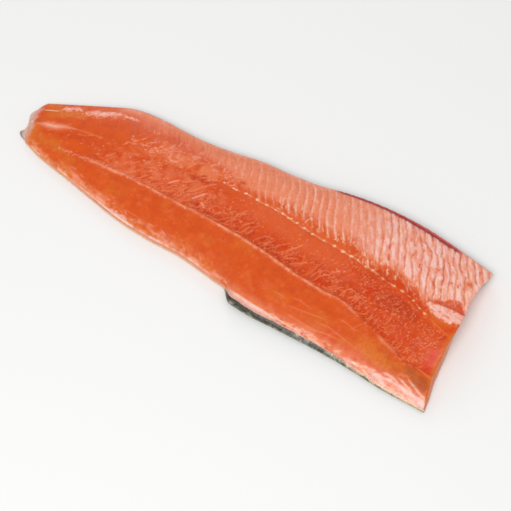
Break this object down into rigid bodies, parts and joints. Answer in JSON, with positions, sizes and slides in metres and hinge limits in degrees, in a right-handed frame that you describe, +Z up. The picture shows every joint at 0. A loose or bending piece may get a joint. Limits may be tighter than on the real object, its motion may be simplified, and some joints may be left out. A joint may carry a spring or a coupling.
{
  "type": "raw salmon fillet",
  "caption": "Whole raw side of salmon with its skin on, flesh side up: thick loin, thin belly flap, pin bones and a torn band where the ribs were cut away.",
  "frame": {"origin": "centre of the bounding box, on the board that the skin lies on", "axes": "+X from the tail to the head-end cut, +Y from the belly edge to the back edge, +Z up out of the cut face"},
  "size_m": [0.4311, 0.1467, 0.0262],
  "materials": {
    "flesh": "wet raw salmon flesh, orange red with pale seams, glossy membrane on the belly",
    "skin": "wet scaled fish skin, dark blue green at the back and silver at the belly"
  },
  "bodies": {
    "root": {"flesh": "flesh", "skin": "skin"}
  },
  "joints": []
}
